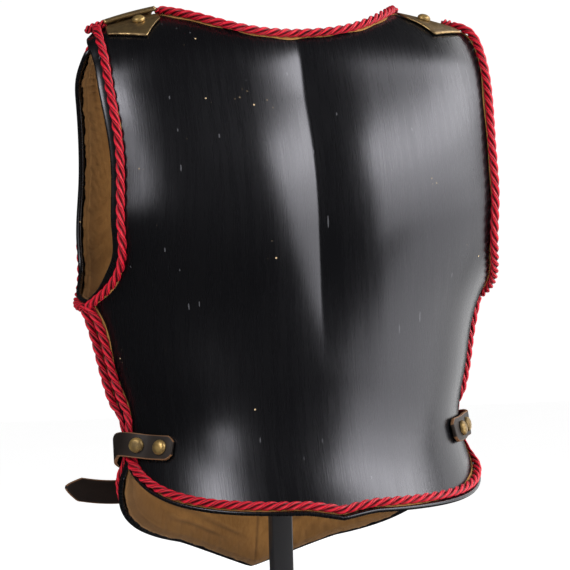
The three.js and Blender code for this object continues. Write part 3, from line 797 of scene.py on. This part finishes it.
def make_buckle():
    """Round wire bent into a rounded rectangle about the belt."""
    centre, up = belt_stops(BREAST, np.array([-0.255]), 4.6)
    centre, up = centre[0], up[0]
    side = unit(np.cross(np.cross([1.0, 0, 0], up), up)) * -1
    high = unit(np.cross(up, side))
    loop = rounded_section(22, 28, 5, 8)
    path = centre + side * loop[:, :1] + high * loop[:, 1:]
    angle = 2 * np.pi * np.arange(14) / 14
    section = BUCKLE_WIRE_RADIUS * np.stack([np.cos(angle), np.sin(angle)], -1)
    return sweep("buckle_frame", path, np.tile(up, (len(path), 1)), section, closed=True)


# ---------------------------------------------------------------- stand

def bar(name, low, high, round_over):
    """Upright bar with rounded edges: a rounded rectangle carried from low to high."""
    low, high = np.array(low, float), np.array(high, float)
    size = high - low
    middle = (low + high) / 2
    inset = np.array([1, 0.3, 0, 0, 0.3, 1]) * round_over
    rise = np.array([0, 0.3, 1, 1, 0.3, 0]) * round_over
    z = np.array([low[2]] * 3 + [high[2]] * 3) + rise * [1, 1, 1, -1, -1, -1]
    path = np.column_stack([np.full(6, middle[0]), np.full(6, middle[1]), z])
    scale = np.column_stack([1 - 2 * inset / size[0], 1 - 2 * inset / size[1]])
    section = rounded_section(size[0], size[1], round_over, 5)
    return sweep(name, path, np.tile([0.0, 1, 0], (6, 1)), section, scale=scale)


def make_yoke():
    """Shaped bar under the shoulders: a rounded section carried from side to side."""
    t = np.linspace(-1, 1, 81)
    x = t * YOKE_REACH
    p = np.arcsin(np.abs(x) / 230) / (np.pi / 2)
    under = BACK.point(p, np.full_like(p, 430))[:, 2] - YOKE_BELOW_BACK
    top = under - 62 * (1 - ramp(np.abs(t), 0.1, 0.68))
    front = mix(52.0, 34.0, ramp(np.abs(t), 0.15, 0.45))
    path = np.column_stack([x, (YOKE_BACK_Y + front) / 2, top - YOKE_HEIGHT / 2])
    depth = 20
    scale = np.column_stack([(front - YOKE_BACK_Y) / depth, np.ones(len(t))])
    section = rounded_section(depth, YOKE_HEIGHT, 2, 5)
    return sweep("stand_yoke_bar", path, np.tile([0.0, 0, 1], (len(t), 1)), section, scale=scale)


# ---------------------------------------------------------------- building

# Ripples: height, waves, phase
BACK_PUCKERS = [(0.5, 7, 0), (0.4, 17, 0.3), (0.2, 31, 0.7)]
BREAST_PUCKERS = [(0.5, 6, 0.2), (0.4, 13, 0), (0.3, 29, 0.4)]

# Folds in the breast lining: start, slope, low u, high u, width, rise
BREAST_FOLDS = [
    (0.055, -0.03, -0.75, -0.02, 0.008, 2.4),
    (0.030, -0.02, -0.55, -0.10, 0.006, 1.6),
    (0.095, 0.02, -0.62, -0.25, 0.010, 1.8),
    (0.070, 0.02, 0.05, 0.60, 0.008, 2.0),
    (0.560, 0.20, -1.00, -0.70, 0.006, 1.2),
]


def build_pieces():
    """Every new piece with the CAD nodes it stands for and its material slot."""
    pieces = [
        (make_plate("back_plate_metal", BACK), ["back_plate"], "lacquer"),
        (make_plate("breast_plate_metal", BREAST), ["breast_plate"], "lacquer"),
        (make_lining("back_linen", BACK, BACK_PUCKERS, []), ["back_lining"], "linen"),
        (make_lining("breast_linen", BREAST, BREAST_PUCKERS, BREAST_FOLDS), ["breast_lining"], "linen"),
        (make_cord("back_neck_rope", BACK, True, 9.2), ["back_neck_cord"], "cord"),
        (make_cord("back_edge_rope", BACK, False, 9.8, LOOSER_LAY), ["back_edge_cord"], "cord"),
        (make_cord_end("left_armhole_rope_end", BACK, -1), [], "cord"),
        (make_cord_end("right_armhole_rope_end", BACK, 1), [], "cord"),
        (make_tape("back_neck_tape", BACK, True, [(1, 3, 0.1), (0.6, 8, 0.5)]), [], "linen"),
        (make_tape("back_edge_tape", BACK, False, [(1, 7, 0.3), (0.7, 19, 0.1)]), [], "linen"),
        (make_tape("breast_edge_tape", BREAST, False, [(1, 6, 0.6), (0.7, 17, 0.2)]), [], "linen"),
        (make_cord("breast_neck_rope", BREAST, True, 9.5), ["breast_neck_cord"], "cord"),
        (make_cord("breast_edge_rope", BREAST, False, 10.0), ["breast_edge_cord"], "cord"),
        (make_left_strap(), ["belt_left_strap"], "leather"),
        (make_right_strap(), ["belt_right_strap"], "leather"),
        (make_buckle(), ["buckle"], "brass"),
        (make_rivet("left_rivet_inner_head", -0.765), ["left_rivet_inner"], "brass"),
        (make_rivet("left_rivet_outer_head", -0.89), ["left_rivet_outer"], "brass"),
        (make_rivet("right_rivet_inner_head", 0.72), ["right_rivet_inner"], "brass"),
        (make_rivet("right_rivet_outer_head", 0.86), ["right_rivet_outer"], "brass"),
        (bar("stand_foot_slab", [-140, -140, 0], [140, 140, 8], 1.5), ["stand_foot"], "steel"),
        (bar("stand_post_bar", [-9, 40, 8], [9, 52, 524], 1.5), ["stand_post"], "steel"),
        (make_yoke(), ["stand_yoke"], "steel"),
    ]
    for side, sign in (("left", -1), ("right", 1)):
        pieces += [
            (make_shoulder_plate(f"{side}_shoulder_base", sign), [f"{side}_shoulder_plate"], "brass"),
            (make_shoulder_strap(f"{side}_shoulder_bridge", sign), [f"{side}_shoulder_strap"], "brass"),
            (make_hinge(f"{side}_shoulder_pin", sign), [f"{side}_shoulder_hinge"], "brass"),
            (make_back_stud(f"{side}_back_stud_head", sign), [f"{side}_shoulder_back_stud"], "brass"),
            (make_front_stud(f"{side}_front_stud_head", sign), [f"{side}_shoulder_front_stud"], "brass"),
        ]
    for obj, nodes, slot in pieces:
        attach(obj, "root")
        if nodes:
            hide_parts(*nodes)
    return pieces


PIECES = build_pieces()


# ---------------------------------------------------------------- camera

def make_camera():
    """Long lens behind the wearer's left shoulder, level, turned a little anticlockwise."""
    turn, roll = math.radians(18), math.radians(-1.52)
    aim = Vector((0.005, 0.032, 0.380))
    back = Vector((-math.sin(turn), -math.cos(turn), 0))
    right = Vector((math.cos(turn), -math.sin(turn), 0))
    up = Vector((0, 0, 1))
    tilted_right = right * math.cos(roll) + up * math.sin(roll)
    tilted_up = -right * math.sin(roll) + up * math.cos(roll)
    data = bpy.data.cameras.new("camera")
    data.lens = 243.47
    data.sensor_width = 36
    data.clip_end = 50
    camera = bpy.data.objects.new("camera", data)
    matrix = Matrix((tilted_right, tilted_up, back)).transposed().to_4x4()
    matrix.translation = aim + back * 3.2
    camera.matrix_world = matrix
    bpy.context.scene.collection.objects.link(camera)
    bpy.context.scene.camera = camera


make_camera()


# ---------------------------------------------------------------- material effects

class Effect:
    """A node group being built, with its named inputs and outputs."""

    def __init__(self, name, inputs, outputs):
        self.tree = bpy.data.node_groups.new(name, "ShaderNodeTree")
        for label, value in inputs.items():
            kind = "NodeSocketVector" if value is None else (
                "NodeSocketColor" if isinstance(value, tuple) else "NodeSocketFloat")
            socket = self.tree.interface.new_socket(label, in_out="INPUT", socket_type=kind)
            if value is not None:
                socket.default_value = value
        for label in outputs:
            kind = "NodeSocketColor" if label == "Color" else "NodeSocketFloat"
            self.tree.interface.new_socket(label, in_out="OUTPUT", socket_type=kind)
        self.source = self.tree.nodes.new("NodeGroupInput").outputs
        self.result = self.tree.nodes.new("NodeGroupOutput").inputs


def add_node(tree, kind, settings=None, **inputs):
    """New shader node; inputs are numbers, colours or other nodes' output sockets."""
    node = tree.nodes.new("ShaderNode" + kind)
    for key, value in (settings or {}).items():
        setattr(node, key, value)
    for key, value in inputs.items():
        key = key.replace("_", " ")
        socket = node.inputs[int(key[2:])] if key.startswith("at") else node.inputs[key]
        if isinstance(value, bpy.types.NodeSocket):
            tree.links.new(value, socket)
        else:
            socket.default_value = value
    return node


def math_node(tree, operation, *values):
    """Result of a Math node on numbers or sockets."""
    inputs = {f"at{i}": value for i, value in enumerate(values)}
    return add_node(tree, "Math", {"operation": operation}, **inputs).outputs[0]


def noise(tree, place, scale, detail=3.0, stretch=(1, 1, 1), roughness=0.55):
    """Noise from 0 to 1 on object coordinates, stretched along the axes."""
    mapped = add_node(tree, "Mapping", Vector=place, Scale=stretch).outputs[0]
    return add_node(tree, "TexNoise", Vector=mapped, Scale=scale, Detail=detail,
                    Roughness=roughness).outputs["Fac"]


def spread(tree, value, low, high):
    """A 0 to 1 value spread between two limits."""
    return math_node(tree, "MULTIPLY_ADD", value, high - low, low)


def window(tree, value, low, high):
    """0 below low, 1 above high, smooth between."""
    node = add_node(tree, "MapRange", {"interpolation_type": "SMOOTHSTEP"}, Value=value)
    node.inputs["From Min"].default_value = low
    node.inputs["From Max"].default_value = high
    return node.outputs[0]


def brushing_effect():
    """Upright brush marks: fine noise drawn out along Z, with broad clouds under it."""
    e = Effect("upright_brushing", {"Place": None, "Fineness": 1.0}, ["Marks", "Clouds"])
    place = add_node(e.tree, "VectorMath", {"operation": "SCALE"}, at0=e.source["Place"],
                     Scale=e.source["Fineness"]).outputs[0]
    fine = noise(e.tree, place, 60, 4, (14, 14, 0.5), 0.7)
    wide = noise(e.tree, place, 22, 3, (7, 7, 0.35))
    marks = math_node(e.tree, "ADD", math_node(e.tree, "MULTIPLY", fine, 0.6),
                      math_node(e.tree, "MULTIPLY", wide, 0.4))
    e.tree.links.new(marks, e.result["Marks"])
    e.tree.links.new(noise(e.tree, place, 7, 4), e.result["Clouds"])
    return e.tree


def chips_effect():
    """Small chips in loose clusters: round cells thinned out by two broad noises."""
    e = Effect("scattered_chips", {"Place": None, "Cells": 150.0, "Reach": 0.2}, ["Chips", "Scratches"])
    cells = add_node(e.tree, "TexVoronoi", Vector=e.source["Place"], Scale=e.source["Cells"],
                     Randomness=1.0)
    spot = math_node(e.tree, "LESS_THAN", cells.outputs["Distance"], e.source["Reach"])
    pick = add_node(e.tree, "SeparateColor", Color=cells.outputs["Color"]).outputs[0]
    rare = math_node(e.tree, "GREATER_THAN", pick, 0.72)
    cluster = window(e.tree, noise(e.tree, e.source["Place"], 26, 2), 0.66, 0.7)
    chips = math_node(e.tree, "MULTIPLY", math_node(e.tree, "MULTIPLY", spot, rare), cluster)
    e.tree.links.new(chips, e.result["Chips"])
    lines = add_node(e.tree, "Mapping", Vector=e.source["Place"], Scale=(420, 420, 40),
                     Rotation=(0.12, 0.1, 0))
    drawn = add_node(e.tree, "TexVoronoi", Vector=lines.outputs[0], Scale=1.0, Randomness=1.0)
    thin = math_node(e.tree, "LESS_THAN", drawn.outputs["Distance"], 0.24)
    lot = add_node(e.tree, "SeparateColor", Color=drawn.outputs["Color"]).outputs[1]
    few = math_node(e.tree, "GREATER_THAN", lot, 0.986)
    e.tree.links.new(math_node(e.tree, "MULTIPLY", thin, few), e.result["Scratches"])
    return e.tree


def yarn_effect():
    """Fibres of a silk ply: fine ridges winding round it. Its colour output is painted shade on the side of
    the ply that faces the other plies, with painted highlights along the fibre ridges.
    """
    e = Effect("silk_yarn", {"Along": 0.0, "Around": 0.0, "Fibres": 9.0}, ["Height", "Painted Light"])
    lead = math_node(e.tree, "MULTIPLY", e.source["Along"], 0.16)
    turns = math_node(e.tree, "MULTIPLY", e.source["Around"], e.source["Fibres"])
    angle = math_node(e.tree, "MULTIPLY", math_node(e.tree, "ADD", lead, turns), 2 * math.pi)
    ridge = math_node(e.tree, "SINE", angle)
    ridge = math_node(e.tree, "MULTIPLY_ADD", ridge, 0.5, 0.5)
    e.tree.links.new(ridge, e.result["Height"])
    # painted shade: the side of each ply that faces the other plies is darkened, where the plies meet
    facing = math_node(e.tree, "COSINE", math_node(e.tree, "MULTIPLY", e.source["Around"], 2 * math.pi))
    outer = window(e.tree, facing, -0.35, 0.95)
    # painted highlights: the colour is lighter along each fibre ridge
    shade = math_node(e.tree, "MULTIPLY", outer, spread(e.tree, ridge, 0.55, 1))
    e.tree.links.new(shade, e.result["Painted Light"])
    return e.tree


def weave_effect():
    """Plain weave: threads over and under in two directions of the cloth's own millimetres."""
    e = Effect("linen_weave", {"Across": 0.0, "Along": 0.0, "Threads": 1.1}, ["Height"])
    parts = []
    for label in ("Across", "Along"):
        turns = math_node(e.tree, "MULTIPLY", e.source[label], e.source["Threads"])
        parts.append(math_node(e.tree, "SINE", math_node(e.tree, "MULTIPLY", turns, 2 * math.pi)))
    product = math_node(e.tree, "MULTIPLY", parts[0], parts[1])
    e.tree.links.new(math_node(e.tree, "MULTIPLY_ADD", product, 0.5, 0.5), e.result["Height"])
    return e.tree


BRUSHING, CHIPS, YARN, WEAVE = brushing_effect(), chips_effect(), yarn_effect(), weave_effect()


# ---------------------------------------------------------------- materials

def new_material(name, roughness, metallic=0.0):
    """Material with its Principled shader, and the piece's object coordinates."""
    material = bpy.data.materials.new(name)
    material.use_nodes = True
    tree = material.node_tree
    shader = tree.nodes["Principled BSDF"]
    shader.inputs["Roughness"].default_value = roughness
    shader.inputs["Metallic"].default_value = metallic
    place = tree.nodes.new("ShaderNodeTexCoord").outputs["Object"]
    return material, tree, shader, place


def place_effect(tree, effect, **inputs):
    """Node group placed in a material, with its own inputs."""
    node = tree.nodes.new("ShaderNodeGroup")
    node.node_tree = effect
    for key, value in inputs.items():
        if isinstance(value, bpy.types.NodeSocket):
            tree.links.new(value, node.inputs[key])
        else:
            node.inputs[key].default_value = value
    return node.outputs


def blend_color(tree, factor, a, b):
    """Mix of two colours or sockets by a factor."""
    node = tree.nodes.new("ShaderNodeMix")
    node.data_type = "RGBA"
    for socket, value in zip((node.inputs[0], node.inputs[6], node.inputs[7]), (factor, a, b)):
        if isinstance(value, bpy.types.NodeSocket):
            tree.links.new(value, socket)
        else:
            socket.default_value = value if isinstance(value, float) else (*value[:3], 1)
    return node.outputs[2]


def bump(tree, shader, height, distance, strength=1.0):
    """Height to the shader's normal; distance is in metres."""
    node = add_node(tree, "Bump", Height=height, Strength=strength, Distance=distance)
    tree.links.new(node.outputs[0], shader.inputs["Normal"])


def attribute(tree, name):
    """Values of one of the piece's own attributes."""
    return add_node(tree, "Attribute", {"attribute_name": name}).outputs["Fac"]


def lacquer_material():
    """Black lacquer: upright brush marks, cloudy depth, pale chips and fine scratches."""
    material, tree, shader, place = new_material("black_lacquer", 0.3)
    sheet = add_node(tree, "CombineXYZ", X=attribute(tree, "plate_across"),
                     Z=attribute(tree, "plate_up")).outputs[0]
    brushed = place_effect(tree, BRUSHING, Place=sheet, Fineness=0.001)
    flaws = place_effect(tree, CHIPS, Place=place, Cells=260.0, Reach=0.2)
    tint = blend_color(tree, brushed["Clouds"], (0.0012, 0.0012, 0.0016), (0.0035, 0.0035, 0.0042))
    tint = blend_color(tree, flaws["Chips"], tint, (0.42, 0.30, 0.16))
    tint = blend_color(tree, flaws["Scratches"], tint, (0.05, 0.05, 0.055))
    tree.links.new(tint, shader.inputs["Base Color"])
    shader.inputs["Specular Tint"].default_value = (0.93, 0.92, 1.0, 1)
    marks = window(tree, brushed["Marks"], 0.36, 0.66)
    gloss = math_node(tree, "ADD", spread(tree, marks, 0.235, 0.30),
                      spread(tree, brushed["Clouds"], -0.04, 0.06))
    gloss = math_node(tree, "ADD", gloss, math_node(tree, "MULTIPLY", flaws["Chips"], 0.3))
    tree.links.new(gloss, shader.inputs["Roughness"])
    height = math_node(tree, "SUBTRACT", brushed["Marks"], flaws["Chips"])
    bump(tree, shader, height, 0.00007)
    return material


def cord_material():
    """Crimson silk: painted shade where the plies meet and painted highlights along the fibres, faded in
    patches.
    """
    material, tree, shader, place = new_material("crimson_silk", 0.42)
    yarn = place_effect(tree, YARN, Along=attribute(tree, "rope_along"),
                        Around=attribute(tree, "rope_around"), Fibres=9.0)
    # painted shade and painted highlights: near black red where the plies meet, full crimson on the fibre
    # ridges of each ply's outer side
    tint = blend_color(tree, yarn["Painted Light"], (0.05, 0.0003, 0.002), (0.62, 0.002, 0.020))
    worn = window(tree, noise(tree, place, 40, 3), 0.35, 0.75)
    tint = blend_color(tree, math_node(tree, "MULTIPLY", worn, 0.18), tint, (0.56, 0.005, 0.026))
    tree.links.new(tint, shader.inputs["Base Color"])
    shader.inputs["Sheen Weight"].default_value = 0.05
    shader.inputs["Sheen Roughness"].default_value = 0.4
    shader.inputs["Sheen Tint"].default_value = (1, 0.15, 0.25, 1)
    shader.inputs["Specular IOR Level"].default_value = 0.3
    bump(tree, shader, yarn["Height"], 0.00025, 0.8)
    return material


def linen_material():
    """Tan linen: plain weave, uneven threads, cloudy colour and painted shade at the edges, in the seam's
    groove and below the folds.
    """
    material, tree, shader, place = new_material("tan_linen", 0.95)
    weave = place_effect(tree, WEAVE, Across=attribute(tree, "cloth_across"),
                         Along=attribute(tree, "cloth_along"), Threads=0.8)
    cloudy = window(tree, noise(tree, place, 26, 6), 0.25, 0.75)
    tint = blend_color(tree, cloudy, (0.16, 0.070, 0.016), (0.33, 0.158, 0.044))
    threads = noise(tree, place, 240, 3, (3, 3, 0.4))
    tint = blend_color(tree, math_node(tree, "MULTIPLY", threads, 0.5), tint, (0.40, 0.21, 0.070))
    # painted shade: darker towards the lining's edge, in pucker dips, in the seam's groove and below folds,
    # as given by the attribute
    tint = blend_color(tree, math_node(tree, "MULTIPLY", attribute(tree, "cloth_soil"), 0.8), tint,
                       (0.10, 0.05, 0.02))
    tree.links.new(tint, shader.inputs["Base Color"])
    shader.inputs["Sheen Weight"].default_value = 0.03
    shader.inputs["Specular IOR Level"].default_value = 0.15
    bump(tree, shader, math_node(tree, "ADD", weave["Height"], threads), 0.0003, 0.8)
    return material


def leather_material():
    """Dark brown leather with a fine grain and a lighter worn edge."""
    material, tree, shader, place = new_material("brown_leather", 0.55)
    grain = noise(tree, place, 420, 4)
    cloudy = noise(tree, place, 45, 3)
    tint = blend_color(tree, cloudy, (0.0065, 0.0042, 0.0036), (0.024, 0.015, 0.011))
    across = math_node(tree, "ABSOLUTE", attribute(tree, "strap_across"))
    uneven = math_node(tree, "MULTIPLY", cloudy, 0.08)
    edge = window(tree, math_node(tree, "ADD", across, uneven), 0.93, 1.02)
    tint = blend_color(tree, edge, tint, (0.15, 0.070, 0.030))
    shader.inputs["Specular IOR Level"].default_value = 0.3
    tree.links.new(tint, shader.inputs["Base Color"])
    tree.links.new(spread(tree, grain, 0.42, 0.7), shader.inputs["Roughness"])
    bump(tree, shader, grain, 0.0002, 0.7)
    return material


def brass_material(name, metallic, bright, dull):
    """Brass between a bright and a dull tone, rougher where it is tarnished."""
    material, tree, shader, place = new_material(name, 0.35, metallic)
    tarnish = window(tree, noise(tree, place, 120, 5), 0.36, 0.66)
    tint = blend_color(tree, tarnish, bright, dull)
    tree.links.new(tint, shader.inputs["Base Color"])
    tree.links.new(spread(tree, tarnish, 0.28, 0.56), shader.inputs["Roughness"])
    bump(tree, shader, noise(tree, place, 500, 3), 0.00008, 0.6)
    return material


def steel_material():
    """Dark painted steel with faint upright brushing."""
    material, tree, shader, place = new_material("dark_painted_steel", 0.4)
    brushed = place_effect(tree, BRUSHING, Place=place, Fineness=2.0)
    tint = blend_color(tree, brushed["Clouds"], (0.014, 0.014, 0.017), (0.028, 0.028, 0.032))
    tree.links.new(tint, shader.inputs["Base Color"])
    tree.links.new(spread(tree, brushed["Marks"], 0.34, 0.52), shader.inputs["Roughness"])
    bump(tree, shader, noise(tree, place, 700, 2), 0.00005)
    return material


FINISHES = {
    "lacquer": lacquer_material(),
    "cord": cord_material(),
    "linen": linen_material(),
    "leather": leather_material(),
    "brass": brass_material("aged_brass", 0.65, (0.40, 0.26, 0.09), (0.13, 0.085, 0.032)),
    "old_brass": brass_material("tarnished_brass", 0.9, (0.40, 0.27, 0.12), (0.15, 0.10, 0.05)),
    "steel": steel_material(),
}
# The shoulder fittings are darker than the rivets and the buckle
for obj, _, slot in PIECES:
    on_shoulder = slot == "brass" and "_shoulder_" in obj.name
    obj.data.materials.append(FINISHES["old_brass" if on_shoulder else slot])


# ---------------------------------------------------------------- floor and light

def make_floor():
    """Plain pale floor, lit a little by itself and left out of gloss reflections."""
    mesh = bpy.data.meshes.new("floor")
    size = 8.0
    corners = [(-size, -size, 0), (size, -size, 0), (size, size, 0), (-size, size, 0)]
    mesh.from_pydata(corners, [], [(0, 1, 2, 3)])
    floor = bpy.data.objects.new("floor", mesh)
    bpy.context.scene.collection.objects.link(floor)
    material, tree, shader, place = new_material("pale_floor", 0.9)
    tint = blend_color(tree, noise(tree, place, 3, 2), (0.88, 0.88, 0.88), (0.92, 0.92, 0.92))
    tree.links.new(tint, shader.inputs["Base Color"])
    shader.inputs["Specular IOR Level"].default_value = 0.1
    shader.inputs["Emission Color"].default_value = (1, 1, 1, 1)
    shader.inputs["Emission Strength"].default_value = 0.42
    mesh.materials.append(material)
    floor.visible_glossy = False


LIGHT_DISTANCE = 1.9
ROOM_ON_MATT = 0.62
ROOM_IN_GLOSS = 0.03


def soft_box(name, turned, raised, brightness):
    """Soft box seen from the object between two azimuths and two elevations, in degrees.

    Azimuth 0 is straight behind the back plate and 90 beside the wearer's right arm.
    """
    azimuth, elevation = math.radians(sum(turned) / 2), math.radians(sum(raised) / 2)
    away = Vector((math.sin(azimuth) * math.cos(elevation),
                   -math.cos(azimuth) * math.cos(elevation), math.sin(elevation)))
    data = bpy.data.lights.new(name, "AREA")
    data.shape = "RECTANGLE"
    data.size = 2 * LIGHT_DISTANCE * math.tan(math.radians(turned[1] - turned[0]) / 2) * math.cos(elevation)
    data.size_y = 2 * LIGHT_DISTANCE * math.tan(math.radians(raised[1] - raised[0]) / 2)
    data.energy = brightness * math.pi * data.size * data.size_y
    light = bpy.data.objects.new(name, data)
    light.visible_camera = False
    turn = (-away).to_track_quat("-Z", "Y").to_matrix().to_4x4()
    light.matrix_world = Matrix.Translation(Vector((0, 0, 0.38)) + away * LIGHT_DISTANCE) @ turn
    bpy.context.scene.collection.objects.link(light)


def make_world():
    """White room seen directly, soft white for matt surfaces, dim in gloss reflections."""
    world = bpy.data.worlds.new("studio")
    world.use_nodes = True
    tree = world.node_tree
    back = tree.nodes["Background"]
    back.inputs["Color"].default_value = (1, 1, 1, 1)
    path = tree.nodes.new("ShaderNodeLightPath").outputs
    seen = math_node(tree, "MULTIPLY", path["Is Camera Ray"], 1.0)
    matt = math_node(tree, "MULTIPLY", path["Is Diffuse Ray"], ROOM_ON_MATT)
    total = math_node(tree, "ADD", math_node(tree, "ADD", seen, matt), ROOM_IN_GLOSS)
    tree.links.new(total, back.inputs["Strength"])
    bpy.context.scene.world = world


make_floor()
make_world()
soft_box("right_top", (24, 80), (24, 41), 9.5)
soft_box("right_top_far", (80, 130), (28, 44), 4.0)
soft_box("right_upper", (28, 80), (12, 24), 5.4)
soft_box("right_middle", (30, 84), (0, 12), 3.8)
soft_box("right_low", (44, 88), (-24, 0), 2.9)
soft_box("right_side", (88, 132), (-24, 28), 1.9)
soft_box("left_top", (-72, -44), (31, 44), 14.0)
soft_box("left_middle", (-54, -39), (8, 27), 5.0)
bpy.context.scene.view_settings.view_transform = "Standard"
